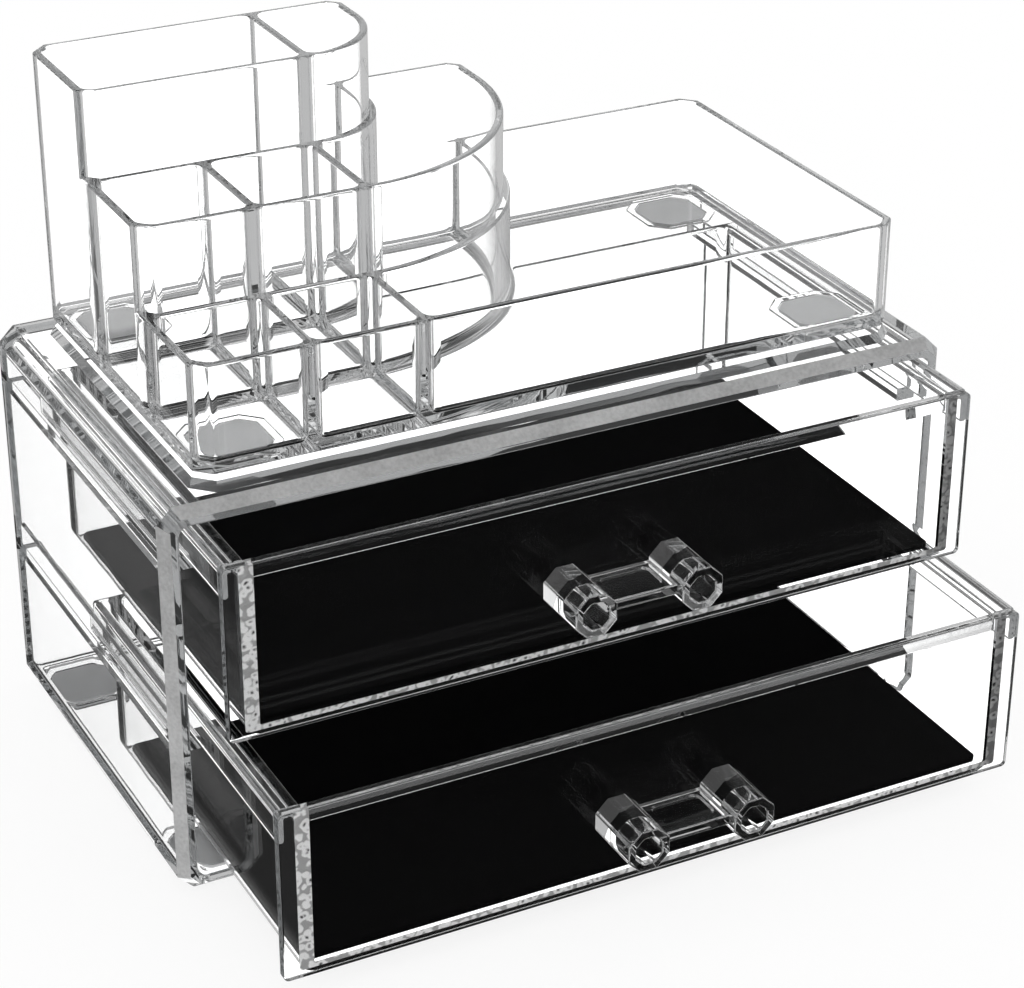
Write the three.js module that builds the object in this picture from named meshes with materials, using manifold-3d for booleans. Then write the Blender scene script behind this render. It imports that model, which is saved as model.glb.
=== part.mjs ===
// A clear vanity organizer: a case with two drawers, and a stepped tray that lifts off its top.
// Millimetres. +X is the right side, -Y the front, where the drawers open, and +Z is up.
// The origin is on the ground, under the middle of the part as it stands with its drawers drawn.
import * as THREE from 'three';
import { mergeVertices } from 'three/addons/utils/BufferGeometryUtils.js';
import Module from 'manifold-3d';

const wasm = await Module();
wasm.setup();

// Case: a shell that is open at the front
const case_width = 240;
const case_depth = 130;
const case_height = 117.5;
const case_wall = 2.5;
const case_floor = 2.5;
const case_skirt = 2.5;
const case_top_chamfer = 4.7;
const case_bottom_chamfer = 4.6;
const front_bevel_inset = 2.4;
const front_bevel_depth = 3.4;
const frame_rim = 5;
const frame_depth = 5;
const frame_corner = 3;

// Raised platform on the case's top, where the tray stands
const platform_height = 2.6;
const platform_slope = 1.5;
const platform_reach = 1.3;

// Soft pads under the case and under the tray
const pad_width = 18.5;
const pad_depth = 19;
const pad_thickness = 1.6;
const pad_corner = 3.6;
const pad_pocket = 0.6;
const pad_clearance = 0.3;
const foot_margin = 2.6;
const case_foot_inset_x = 5;
const case_foot_inset_y = 4;
const tray_foot_height = 0.8;
const tray_foot_inset_x = 4.2;
const tray_foot_inset_y = 4.4;

// Drawers
const plate_side_gap = 2;
const plate_low_gap = 0.4;
const plate_between_gap = 3.8;
const plate_top_gap = 0.7;
const plate_thickness = 3;
const plate_corner = 1.6;
const lip_bar_height = 5.5;
const lip_bar_depth = 1.8;
const lip_bar_gap = 0.3;
const body_inset = 5;
const drawer_wall = 2.2;
const drawer_floor = 2.2;
const body_corner = 3;
const body_back_gap = 3;
const flange_thickness = 2.2;
const hook_depth = 9.5;
const hook_thickness = 2.2;
const upper_pull = 23.8;
const lower_pull = 54.4;

// Runners on the case's side walls, which carry the drawers' hooked flanges
const runner_gap = 0.3;
const runner_side_gap = 0.5;
const runner_body_gap = 1;
const runner_foot = 4;
const runner_guide = 7.6;

// Mats on the drawers' floors
const mat_gap = 2.8;
const mat_thickness = 1.8;
const mat_corner = 3;

// Handles: two bored eight-sided bosses and the web between them
const boss_across = 12.4;
const boss_wall = 2.3;
const boss_length = 18.5;
const boss_back = 9.2;
const boss_spacing = 32.2;
const handle_height = 22.2;
const web_thickness = 3.2;
const web_setback = 3;
const web_dish = 0.6;
const web_dish_margin = 2.4;
const web_dish_corner = 2.5;

// Tray: three tiers at its left and an open part at its right
const tray_side_margin = 13.5;
const tray_end_margin = 6.8;
const tray_width = case_width - 2 * tray_side_margin;
const tray_depth = case_depth - 2 * tray_end_margin;
const tray_corner = 4.5;
const tray_wall = 2.2;
const tray_floor = 2.3;
const low_height = 31.2;
const middle_step = 24.4;
const tall_step = 24.7;
const middle_row = 80.6;
const tall_row = 42.5;
const column_width = 30.2;
const round_radius = 27.5;
const round_back_corner = 3.5;
const ledge = 2;

// Steps of a quarter turn, the overrun of cuts, and how far joined bodies run into each other
const arc_steps = 20;
const corner_steps = 4;
const overrun = 1;
const bite = 0.5;

// An inner corner cut shrinks by this share of the wall when its outline moves inwards
const corner_shrink_share = 2 - Math.SQRT2;

// Levels, from the case's lowest edge up
const floor_top = case_skirt + case_floor;
const bay_top = case_height - case_wall;
const opening_top = case_height - frame_rim;
const platform_top = case_height + platform_height;
const pad_stand = pad_thickness - pad_pocket;
const tray_base = platform_top + pad_stand + tray_foot_height;
const plate_gaps = plate_low_gap + plate_between_gap + plate_top_gap;
const plate_height = (opening_top - floor_top - plate_gaps) / 2;
const lower_base = floor_top + plate_low_gap;
const upper_base = lower_base + plate_height + plate_between_gap;

// Reaches to either side of the middle plane, and along the case
const bay_half = case_width / 2 - case_wall;
const opening_half = case_width / 2 - frame_rim;
const plate_half = opening_half - plate_side_gap;
const body_half = plate_half - body_inset;
const bay_back = case_depth - case_wall;
const body_back = bay_back - body_back_gap;
const foot_width = pad_width + 2 * foot_margin;
const foot_depth = pad_depth + 2 * foot_margin;
const tray_front = (case_depth - tray_depth) / 2;
const tray_back = tray_front + tray_depth;

const clear_plastic = new THREE.MeshStandardMaterial({
  color: 0xf4f6f7, roughness: 0.05, metalness: 0, transparent: true, opacity: 0.35,
});
const grey_pad = new THREE.MeshStandardMaterial({ color: 0xa9abac, roughness: 0.6, metalness: 0 });
const black_mat = new THREE.MeshStandardMaterial({ color: 0x101011, roughness: 0.8, metalness: 0 });

// Turns a closed three.js geometry into a solid that can be joined and cut
function solid_of(geometry) {
  geometry.deleteAttribute('normal');
  geometry.deleteAttribute('uv');
  const merged = mergeVertices(geometry);
  return new wasm.Manifold(new wasm.Mesh({
    numProp: 3,
    vertProperties: new Float32Array(merged.attributes.position.array),
    triVerts: new Uint32Array(merged.index.array),
  }));
}

// Names the mesh of a solid
function mesh_of(name, solid, material) {
  const result = solid.getMesh();
  const geometry = new THREE.BufferGeometry();
  geometry.setAttribute('position', new THREE.BufferAttribute(result.vertProperties, 3));
  geometry.setIndex(new THREE.BufferAttribute(result.triVerts, 1));
  geometry.computeVertexNormals();
  const mesh = new THREE.Mesh(geometry, material);
  mesh.name = name;
  return mesh;
}

// A plan outline raised from one level to another
function raised(shape, low, high) {
  const geometry = new THREE.ExtrudeGeometry(shape, {
    depth: high - low, bevelEnabled: false, curveSegments: arc_steps,
  });
  return solid_of(geometry.translate(0, 0, low));
}

// A front-view outline, drawn in X and Z, run back from one depth to another
function run_back(shape, front, back) {
  const geometry = new THREE.ExtrudeGeometry(shape, {
    depth: back - front, bevelEnabled: false, curveSegments: corner_steps,
  });
  return solid_of(geometry.rotateX(Math.PI / 2).translate(0, back, 0));
}

// A box between two corners
function block(x0, x1, y0, y1, z0, z1) {
  const geometry = new THREE.BoxGeometry(x1 - x0, y1 - y0, z1 - z0);
  return solid_of(geometry.translate((x0 + x1) / 2, (y0 + y1) / 2, (z0 + z1) / 2));
}

// A rectangle whose low and high corners are cut at 45 degrees
function cut_rectangle(x0, x1, y0, y1, low_cut, high_cut) {
  return new THREE.Shape([
    [x0 + low_cut, y0], [x1 - low_cut, y0], [x1, y0 + low_cut], [x1, y1 - high_cut],
    [x1 - high_cut, y1], [x0 + high_cut, y1], [x0, y1 - high_cut], [x0, y0 + low_cut],
  ].map(([x, y]) => new THREE.Vector2(x, y)));
}

// A rectangle with round corners
function round_rectangle(x0, x1, y0, y1, radius) {
  const shape = new THREE.Shape();
  shape.absarc(x1 - radius, y0 + radius, radius, -Math.PI / 2, 0, false);
  shape.absarc(x1 - radius, y1 - radius, radius, 0, Math.PI / 2, false);
  shape.absarc(x0 + radius, y1 - radius, radius, Math.PI / 2, Math.PI, false);
  shape.absarc(x0 + radius, y0 + radius, radius, Math.PI, 3 * Math.PI / 2, false);
  return shape;
}

// A pad's outline, or a foot's where it is grown by a margin
function foot_outline(x, y, grow) {
  const half_x = pad_width / 2 + grow;
  const half_y = pad_depth / 2 + grow;
  const cut = pad_corner + grow * corner_shrink_share;
  return cut_rectangle(x - half_x, x + half_x, y - half_y, y + half_y, cut, cut);
}

// The four places of a set of feet round a middle point
function foot_places(half_x, middle_y, half_y) {
  return [
    { name: 'front_left', x: -half_x, y: middle_y - half_y },
    { name: 'front_right', x: half_x, y: middle_y - half_y },
    { name: 'back_left', x: -half_x, y: middle_y + half_y },
    { name: 'back_right', x: half_x, y: middle_y + half_y },
  ];
}

const case_feet = foot_places(
  case_width / 2 - case_foot_inset_x - foot_width / 2,
  case_depth / 2,
  case_depth / 2 - case_foot_inset_y - foot_depth / 2,
);
const tray_feet = foot_places(
  tray_width / 2 - tray_foot_inset_x - foot_width / 2,
  case_depth / 2,
  tray_depth / 2 - tray_foot_inset_y - foot_depth / 2,
);

// The outside of the case, with a bevel all round its front edge
function case_outside() {
  const half = case_width / 2;
  const outline = cut_rectangle(-half, half, 0, case_height, case_bottom_chamfer, case_top_chamfer);
  const geometry = new THREE.ExtrudeGeometry(outline, {
    depth: case_depth,
    bevelEnabled: true,
    bevelThickness: front_bevel_depth,
    bevelSize: front_bevel_inset,
    bevelOffset: -front_bevel_inset,
    bevelSegments: 1,
  });
  const long_body = solid_of(geometry.rotateX(Math.PI / 2).translate(0, case_depth + front_bevel_depth, 0));
  const keep = block(-case_width, case_width, -overrun, case_depth, -overrun, case_height + overrun);
  return long_body.intersect(keep);
}

// The platform has sloping sides: its outline narrows from foot to top
function platform_body(drop, shrink) {
  const base_x = tray_width / 2 + platform_reach - shrink;
  const base_y = tray_depth / 2 + platform_reach - shrink;
  const cut = tray_corner + platform_reach - shrink * corner_shrink_share;
  const outline = cut_rectangle(-base_x, base_x, -base_y, base_y, cut, cut);
  const geometry = new THREE.ExtrudeGeometry(outline, {
    depth: bite,
    bevelEnabled: true,
    bevelThickness: platform_height,
    bevelSize: platform_slope,
    bevelOffset: -platform_slope,
    bevelSegments: 1,
  });
  const low = case_height - bite - drop;
  return solid_of(geometry.translate(0, case_depth / 2, low)).intersect(
    block(-case_width, case_width, 0, case_depth, low, case_height + platform_height));
}

// A runner on the right wall: a foot under the hooked flange and a guide beside it
function runner(side, drawer_base) {
  const hook_bottom = drawer_base + plate_height - hook_depth;
  const foot_top = hook_bottom - runner_gap;
  const guide_face = plate_half + runner_side_gap;
  const foot_face = body_half + runner_body_gap;
  const wall = bay_half + bite;
  const outline = new THREE.Shape([
    [foot_face, foot_top - runner_foot], [wall, foot_top - runner_foot],
    [wall, foot_top + runner_guide], [guide_face, foot_top + runner_guide],
    [guide_face, foot_top], [foot_face, foot_top],
  ].map(([x, z]) => new THREE.Vector2(x, z)));
  const right = run_back(outline, frame_depth - bite, bay_back + bite);
  return side > 0 ? right : right.mirror([1, 0, 0]);
}

function case_shell() {
  const bay_cut = case_top_chamfer - case_wall * corner_shrink_share;
  const opening = round_rectangle(-opening_half, opening_half, floor_top, opening_top, frame_corner);
  const bay = cut_rectangle(-bay_half, bay_half, floor_top, bay_top, 0, bay_cut);
  const skirt_half = case_width / 2 - case_bottom_chamfer - case_wall;
  let shell = case_outside()
    .subtract(run_back(opening, -overrun, frame_depth + overrun))
    .subtract(run_back(bay, frame_depth, bay_back))
    .subtract(block(-skirt_half, skirt_half, frame_depth, bay_back, -overrun, case_skirt))
    .add(platform_body(0, 0))
    .subtract(platform_body(case_wall, case_wall));
  for (const side of [-1, 1]) {
    for (const base of [lower_base, upper_base]) {
      shell = shell.add(runner(side, base));
    }
  }
  for (const foot of case_feet) {
    shell = shell
      .add(raised(foot_outline(foot.x, foot.y, foot_margin), 0, case_skirt + bite))
      .subtract(raised(foot_outline(foot.x, foot.y, pad_clearance), -overrun, pad_pocket));
  }
  return shell;
}

// A drawer's tray-like body, open at the front, with a hooked flange along each side
function drawer_body() {
  const top = plate_height;
  const inner = body_half - drawer_wall;
  const inner_cut = body_corner - drawer_wall * corner_shrink_share;
  const right = [
    [body_half - body_corner, 0], [body_half, body_corner], [body_half, top - flange_thickness],
    [plate_half - hook_thickness, top - flange_thickness], [plate_half - hook_thickness, top - hook_depth],
    [plate_half, top - hook_depth], [plate_half, top], [inner, top],
    [inner, drawer_floor + inner_cut], [inner - inner_cut, drawer_floor],
  ];
  const left = right.map(([x, z]) => [-x, z]).reverse();
  const section = new THREE.Shape([...right, ...left].map(([x, z]) => new THREE.Vector2(x, z)));
  const back = cut_rectangle(-body_half, body_half, 0, top, body_corner, 0);
  return run_back(section, plate_thickness, body_back).add(
    run_back(back, body_back - drawer_wall, body_back));
}

// The front plate, with a wedge along its back's top edge, which is thickest at its foot
function front_plate() {
  const bar_half = body_half - drawer_wall - lip_bar_gap;
  const plate = run_back(
    round_rectangle(-plate_half, plate_half, 0, plate_height, plate_corner), 0, plate_thickness);
  const bar_side = new THREE.Shape([
    [plate_thickness - bite, plate_height - lip_bar_height],
    [plate_thickness + lip_bar_depth, plate_height - lip_bar_height],
    [plate_thickness, plate_height], [plate_thickness - bite, plate_height],
  ].map(([y, z]) => new THREE.Vector2(y, z)));
  const bar = new THREE.ExtrudeGeometry(bar_side, { depth: 2 * bar_half, bevelEnabled: false });
  // Turns the side view's Y and Z, which the outline has as X and Y, into the row's
  const to_row = new THREE.Matrix4().makeBasis(
    new THREE.Vector3(0, 1, 0), new THREE.Vector3(0, 0, 1), new THREE.Vector3(1, 0, 0));
  return plate.add(solid_of(bar.applyMatrix4(to_row).translate(-bar_half, 0, 0)));
}

// An eight-sided outline with flat sides at the left, right, top and bottom
function octagon(x, z, across) {
  const half = across / 2;
  const cut = across / (2 + Math.SQRT2);
  return cut_rectangle(x - half, x + half, z - half, z + half, cut, cut);
}

function handle() {
  const front = -boss_length;
  const web_front = front + web_setback;
  const web_low = handle_height - web_thickness / 2;
  const web_half = boss_spacing / 2 - boss_across / 2;
  let body = block(-web_half - bite, web_half + bite, web_front, 0, web_low, web_low + web_thickness);
  for (const x of [-boss_spacing / 2, boss_spacing / 2]) {
    body = body
      .add(run_back(octagon(x, handle_height, boss_across), front, 0))
      .subtract(run_back(octagon(x, handle_height, boss_across - 2 * boss_wall), front - overrun, -boss_back));
  }
  const dish = round_rectangle(
    -web_half + web_dish_margin, web_half - web_dish_margin,
    web_front + web_dish_margin, -web_dish_margin, web_dish_corner);
  const web_top = web_low + web_thickness;
  return body.subtract(raised(dish, web_top - web_dish, web_top + overrun));
}

function mat() {
  const half = body_half - drawer_wall - mat_gap;
  const front = plate_thickness + mat_gap;
  const back = body_back - drawer_wall - mat_gap;
  return raised(
    cut_rectangle(-half, half, front, back, mat_corner, mat_corner), drawer_floor, drawer_floor + mat_thickness);
}

// The tray's tiers share the middle of their round ends, which lies on the second divider
const tray_left = -tray_width / 2;
const first_divider = tray_left + tray_wall + column_width;
const second_divider = first_divider + tray_wall + column_width;
const round_x = second_divider + tray_wall / 2;
const round_y = tray_back - tall_row + round_radius;

// A tier's outline: straight at the left and back, round at its right front.
// It is drawn in by inset at the left and back, and let out by grow at the front and round it.
function tier_outline(row, inset, grow) {
  const front = tray_back - row - grow;
  const radius = round_y - front;
  const left = tray_left + inset;
  const back = tray_back - inset;
  const cut = tray_corner - inset * corner_shrink_share;
  const back_cut = round_back_corner - inset * corner_shrink_share;
  const shape = new THREE.Shape();
  shape.moveTo(left, back - cut);
  shape.lineTo(left, front + cut);
  shape.lineTo(left + cut, front);
  shape.absarc(round_x, round_y, radius, -Math.PI / 2, 0, false);
  shape.lineTo(round_x + radius, back - back_cut);
  shape.lineTo(round_x + radius - back_cut, back);
  shape.lineTo(left + cut, back);
  shape.closePath();
  return shape;
}

// The lowest tier runs the tray's whole width
function low_outline(inset) {
  const half = tray_width / 2 - inset;
  const cut = tray_corner - inset * corner_shrink_share;
  return cut_rectangle(-half, half, tray_front + inset, tray_back - inset, cut, cut);
}

// A divider wall that starts at x and runs the tray's whole depth
function divider(x, top) {
  return block(x, x + tray_wall, tray_front, tray_back, 0, top);
}

function tray() {
  const middle_top = low_height + middle_step;
  const tall_top = middle_top + tall_step;
  const high = tall_top + overrun;
  const low_room = raised(low_outline(tray_wall), tray_floor, high)
    .subtract(raised(tier_outline(middle_row, 0, ledge), 0, high))
    .subtract(divider(first_divider, high))
    .subtract(divider(second_divider, high));
  const middle_room = raised(tier_outline(middle_row, tray_wall, -tray_wall), tray_floor, high)
    .subtract(raised(tier_outline(tall_row, 0, ledge), 0, high))
    .subtract(divider(first_divider, high))
    .subtract(divider(second_divider, high));
  const tall_room = raised(tier_outline(tall_row, tray_wall, -tray_wall), tray_floor, high)
    .subtract(divider(second_divider, high));
  let body = raised(low_outline(0), 0, low_height).subtract(low_room)
    .add(raised(tier_outline(middle_row, 0, 0), 0, middle_top)).subtract(middle_room)
    .add(raised(tier_outline(tall_row, 0, 0), 0, tall_top)).subtract(tall_room);
  for (const foot of tray_feet) {
    body = body
      .add(raised(foot_outline(foot.x, foot.y, foot_margin), -tray_foot_height, bite))
      .subtract(raised(
        foot_outline(foot.x, foot.y, pad_clearance), -tray_foot_height - overrun, pad_pocket - tray_foot_height));
  }
  return body;
}

// A set of pads, which hang pad_stand below the level that their feet end at
function add_pads(group, prefix, feet, foot_end) {
  for (const foot of feet) {
    const pad = raised(foot_outline(foot.x, foot.y, 0), foot_end - pad_stand, foot_end + pad_pocket);
    group.add(mesh_of(`${prefix}_${foot.name}`, pad, grey_pad));
  }
}

function drawer(prefix, base, pull) {
  const group = new THREE.Group();
  group.add(
    mesh_of(`${prefix}_drawer_body`, drawer_body(), clear_plastic),
    mesh_of(`${prefix}_drawer_front`, front_plate(), clear_plastic),
    mesh_of(`${prefix}_drawer_handle`, handle(), clear_plastic),
    mesh_of(`${prefix}_drawer_mat`, mat(), black_mat),
  );
  group.position.set(0, -pull, base);
  return group;
}

function tray_group() {
  const group = new THREE.Group();
  group.add(mesh_of('stepped_tray', tray(), clear_plastic));
  add_pads(group, 'tray_pad', tray_feet, -tray_foot_height);
  group.position.set(0, 0, tray_base);
  return group;
}

const organizer = new THREE.Group();
organizer.add(mesh_of('case_shell', case_shell(), clear_plastic));
add_pads(organizer, 'case_pad', case_feet, 0);
organizer.add(
  drawer('lower', lower_base, lower_pull),
  drawer('upper', upper_base, upper_pull),
  tray_group(),
);
const front_reach = Math.max(lower_pull, upper_pull) + boss_length;
organizer.position.set(0, (front_reach - case_depth) / 2, pad_stand);

export default organizer;
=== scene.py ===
"""A clear vanity organizer: a case with two drawers, and a stepped tray that lifts off its top."""
import math

import bpy
import numpy as np
from mathutils import Matrix, Vector


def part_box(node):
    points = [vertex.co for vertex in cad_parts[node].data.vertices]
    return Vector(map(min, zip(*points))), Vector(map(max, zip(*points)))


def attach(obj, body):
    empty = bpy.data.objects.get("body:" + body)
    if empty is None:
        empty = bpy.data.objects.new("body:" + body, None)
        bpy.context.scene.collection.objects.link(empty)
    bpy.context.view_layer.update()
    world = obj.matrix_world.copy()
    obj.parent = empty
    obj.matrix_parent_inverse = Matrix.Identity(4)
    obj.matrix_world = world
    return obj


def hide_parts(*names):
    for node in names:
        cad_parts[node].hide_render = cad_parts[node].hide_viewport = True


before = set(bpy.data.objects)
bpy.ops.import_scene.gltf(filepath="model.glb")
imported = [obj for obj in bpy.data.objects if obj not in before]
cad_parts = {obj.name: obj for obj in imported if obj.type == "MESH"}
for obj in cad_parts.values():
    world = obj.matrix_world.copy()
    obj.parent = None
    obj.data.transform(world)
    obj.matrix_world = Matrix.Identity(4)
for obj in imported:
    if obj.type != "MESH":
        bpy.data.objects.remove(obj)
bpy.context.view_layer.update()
scene = bpy.context.scene
scene.view_settings.view_transform = "Standard"

# The camera stands in front of the left corner and looks down at the organizer.
# Its place was solved from the corners of the object in the 1024 by 988 photograph.
camera_azimuth = math.radians(27.17)
camera_elevation = math.radians(27.66)
camera_roll = math.radians(0.08)
camera_distance = 0.86115
look_at = Vector((0.01018, 0.02923, 0.06702))
photo_width = 1024
focal_pixels = 2916.83
sensor_width = 36

forward = Vector((
    math.sin(camera_azimuth) * math.cos(camera_elevation),
    math.cos(camera_azimuth) * math.cos(camera_elevation),
    -math.sin(camera_elevation),
))
level_right = forward.cross(Vector((0, 0, 1))).normalized()
level_up = level_right.cross(forward)
camera_right = level_right * math.cos(camera_roll) + level_up * math.sin(camera_roll)
camera_up = level_up * math.cos(camera_roll) - level_right * math.sin(camera_roll)
camera_data = bpy.data.cameras.new("camera")
camera_data.sensor_width = sensor_width
camera_data.lens = focal_pixels / photo_width * sensor_width
camera_data.clip_start = 0.01
camera = bpy.data.objects.new("camera", camera_data)
camera.matrix_world = (
    Matrix.Translation(look_at - forward * camera_distance)
    @ Matrix((camera_right, camera_up, -forward)).transposed().to_4x4()
)
scene.collection.objects.link(camera)
scene.camera = camera

# Light passes many walls, and runs along inside them to their far edges, mirrored some hundred times.
most_bounces = 256
most_clear_faces = 48
scene.cycles.max_bounces = most_bounces
scene.cycles.transmission_bounces = most_bounces
scene.cycles.glossy_bounces = most_bounces
scene.cycles.transparent_max_bounces = most_clear_faces


def add_node(tree, kind, inputs=(), **settings):
    """Adds a shader node with its settings, and links or fills the inputs given as (socket, value)."""
    node = tree.nodes.new(kind)
    for key, value in settings.items():
        setattr(node, key, value)
    for socket, value in inputs:
        if isinstance(value, bpy.types.NodeSocket):
            tree.links.new(value, node.inputs[socket])
        else:
            node.inputs[socket].default_value = value
    return node


def grey(level):
    """An opaque grey, equal in all three colours."""
    return (level, level, level, 1)


def ramp(tree, value, levels):
    """Grey over a value from 0 to 1, with straight steps between levels that are given as (value, grey)."""
    node = add_node(tree, "ShaderNodeValToRGB", [(0, value)])
    stops = node.color_ramp.elements
    while len(stops) < len(levels):
        stops.new(1)
    for stop, (position, level) in zip(stops, levels):
        stop.position = position
        stop.color = grey(level)
    return node.outputs[0]


def new_finish(name):
    """A material with an empty node tree, and the place on the object in metres."""
    finish = bpy.data.materials.new(name)
    finish.use_nodes = True
    finish.node_tree.nodes.clear()
    place = add_node(finish.node_tree, "ShaderNodeTexCoord").outputs["Object"]
    return finish, finish.node_tree, place


def placed(name, mesh):
    """A new object in the scene, at the origin."""
    piece = bpy.data.objects.new(name, mesh)
    scene.collection.objects.link(piece)
    return piece


# The surroundings are white to the eye, in reflections and unbent through the plastic.
# Light that leaves the plastic upwards meets four soft boxes and the grey gaps between them, so that the
# edges are drawn in grey and white.
white = grey(1)
band_levels = [(0.52, 1.0), (0.57, 0.6), (0.66, 0.34), (0.80, 0.26), (0.90, 0.5), (0.97, 1.0)]
soft_boxes = 4.0
gap_level, box_level = 0.12, 2.2
box_fade = 0.7
face_loss = 0.16
most_faces = 8.0
world = bpy.data.worlds.new("surroundings")
scene.world = world
world.use_nodes = True
tree = world.node_tree
tree.nodes.clear()
direction = add_node(tree, "ShaderNodeTexCoord").outputs["Generated"]
parted = add_node(tree, "ShaderNodeSeparateXYZ", [(0, direction)])
share = add_node(
    tree, "ShaderNodeMath", [(0, parted.outputs["Z"]), (1, 0.5), (2, 0.5)], operation="MULTIPLY_ADD")
band = ramp(tree, share.outputs[0], band_levels)
turn = add_node(
    tree, "ShaderNodeMath", [(0, parted.outputs["Y"]), (1, parted.outputs["X"])], operation="ARCTAN2")
turn = add_node(tree, "ShaderNodeMath", [(0, turn.outputs[0]), (1, soft_boxes)], operation="MULTIPLY")
turn = add_node(tree, "ShaderNodeMath", [(0, turn.outputs[0])], operation="SINE")
gain = add_node(tree, "ShaderNodeMapRange", [
    ("Value", turn.outputs[0]), ("From Min", -box_fade), ("From Max", box_fade),
    ("To Min", gap_level), ("To Max", box_level),
])
boxes = add_node(
    tree, "ShaderNodeVectorMath", [(0, band), ("Scale", gain.outputs[0])], operation="SCALE")
boxes = add_node(tree, "ShaderNodeVectorMath", [(0, boxes.outputs[0]), (1, (1, 1, 1))], operation="MINIMUM")
path = add_node(tree, "ShaderNodeLightPath")
unscattered = add_node(
    tree, "ShaderNodeMath", [(0, path.outputs["Diffuse Depth"]), (1, 0.5)], operation="LESS_THAN")
dimmed = add_node(
    tree, "ShaderNodeMath", [(0, path.outputs["Is Transmission Ray"]), (1, unscattered.outputs[0])],
    operation="MULTIPLY")
seen = add_node(
    tree, "ShaderNodeMix", [(0, dimmed.outputs[0]), (6, white), (7, boxes.outputs[0])], data_type="RGBA")


def made_up(tree, path):
    """A strength that gives back what the plastic's faces throw off: 1 + faces passed * loss per face.

    It holds for rays that only passed through the plastic. One that was reflected or scattered gets 1.
    """
    faces = add_node(
        tree, "ShaderNodeMath",
        [(0, path.outputs["Transmission Depth"]), (1, most_faces)], operation="MINIMUM")
    turned = add_node(
        tree, "ShaderNodeMath",
        [(0, path.outputs["Diffuse Depth"]), (1, path.outputs["Glossy Depth"])], operation="ADD")
    straight = add_node(tree, "ShaderNodeMath", [(0, turned.outputs[0]), (1, 0.5)], operation="LESS_THAN")
    share = add_node(
        tree, "ShaderNodeMath", [(0, faces.outputs[0]), (1, straight.outputs[0])], operation="MULTIPLY")
    strength = add_node(
        tree, "ShaderNodeMath", [(0, share.outputs[0]), (1, face_loss), (2, 1.0)], operation="MULTIPLY_ADD")
    return strength.outputs[0]


background = add_node(
    tree, "ShaderNodeBackground", [("Color", seen.outputs[2]), ("Strength", made_up(tree, path))])
add_node(tree, "ShaderNodeOutputWorld", [("Surface", background.outputs[0])])

# The floor is a white table. To the eye it keeps a part of its own shading, and through the plastic it is
# as white as the surroundings. For the plastic to reflect, it is grey, with a dark card in front and at the
# left. It lets the world's white light through to the undersides, in place of what it would throw up.
floor_reach = 4
floor_drop = 0.0002
own_shading_share = 0.15
card_level = 0.06
mirrored_level = 0.55
card_fade = 0.006
left_card = ((-0.176, 0.13, 0), (0.059, 0.2, 0))
front_card = ((0.0525, -0.168, 0), (0.1675, 0.082, 0))
floor_mesh = bpy.data.meshes.new("floor")
floor_mesh.from_pydata(
    [(x * floor_reach, y * floor_reach, -floor_drop) for x, y in ((-1, -1), (1, -1), (1, 1), (-1, 1))],
    [], [(0, 1, 2, 3)])
floor = placed("floor", floor_mesh)
floor_finish, tree, place = new_finish("white_table")
path = add_node(tree, "ShaderNodeLightPath")
unmirrored = add_node(
    tree, "ShaderNodeMath", [(0, path.outputs["Glossy Depth"]), (1, 0.5)], operation="LESS_THAN")
clear_of_cards = []
for centre, half_size in (left_card, front_card):
    away = add_node(tree, "ShaderNodeVectorMath", [(0, place), (1, centre)], operation="SUBTRACT")
    away = add_node(tree, "ShaderNodeVectorMath", [(0, away.outputs[0])], operation="ABSOLUTE")
    away = add_node(
        tree, "ShaderNodeVectorMath", [(0, away.outputs[0]), (1, half_size)], operation="SUBTRACT")
    away = add_node(tree, "ShaderNodeSeparateXYZ", [(0, away.outputs[0])])
    away = add_node(
        tree, "ShaderNodeMath", [(0, away.outputs["X"]), (1, away.outputs["Y"])], operation="MAXIMUM")
    away = add_node(
        tree, "ShaderNodeMapRange", [("Value", away.outputs[0]), ("From Min", 0.0), ("From Max", card_fade)])
    clear_of_cards.append(away.outputs[0])
open_table = add_node(
    tree, "ShaderNodeMath", [(0, clear_of_cards[0]), (1, clear_of_cards[1])], operation="MINIMUM")
mirrored = add_node(
    tree, "ShaderNodeMix",
    [(0, open_table.outputs[0]), (6, grey(card_level)), (7, grey(mirrored_level))], data_type="RGBA")
shade = add_node(
    tree, "ShaderNodeMix",
    [(0, unmirrored.outputs[0]), (6, mirrored.outputs[2]), (7, white)], data_type="RGBA")
through = add_node(
    tree, "ShaderNodeMath", [(0, path.outputs["Is Glossy Ray"]), (1, path.outputs["Is Transmission Ray"])],
    operation="MAXIMUM")
lift = add_node(
    tree, "ShaderNodeMath",
    [(0, path.outputs["Is Camera Ray"]), (1, 1 - own_shading_share)], operation="MULTIPLY")
lift = add_node(tree, "ShaderNodeMath", [(0, lift.outputs[0]), (1, through.outputs[0])], operation="MAXIMUM")
shaded = add_node(tree, "ShaderNodeBsdfDiffuse", [("Color", shade.outputs[2])])
lit = add_node(
    tree, "ShaderNodeEmission", [("Color", shade.outputs[2]), ("Strength", made_up(tree, path))])
table = add_node(
    tree, "ShaderNodeMixShader", [(0, lift.outputs[0]), (1, shaded.outputs[0]), (2, lit.outputs[0])])
from_below = add_node(
    tree, "ShaderNodeMath", [(0, path.outputs["Is Shadow Ray"]), (1, path.outputs["Is Diffuse Ray"])],
    operation="MAXIMUM")
let_through = add_node(tree, "ShaderNodeBsdfTransparent", [("Color", white)])
table = add_node(
    tree, "ShaderNodeMixShader",
    [(0, from_below.outputs[0]), (1, table.outputs[0]), (2, let_through.outputs[0])])
add_node(tree, "ShaderNodeOutputMaterial", [("Surface", table.outputs[0])])
floor_mesh.materials.append(floor_finish)


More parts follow.
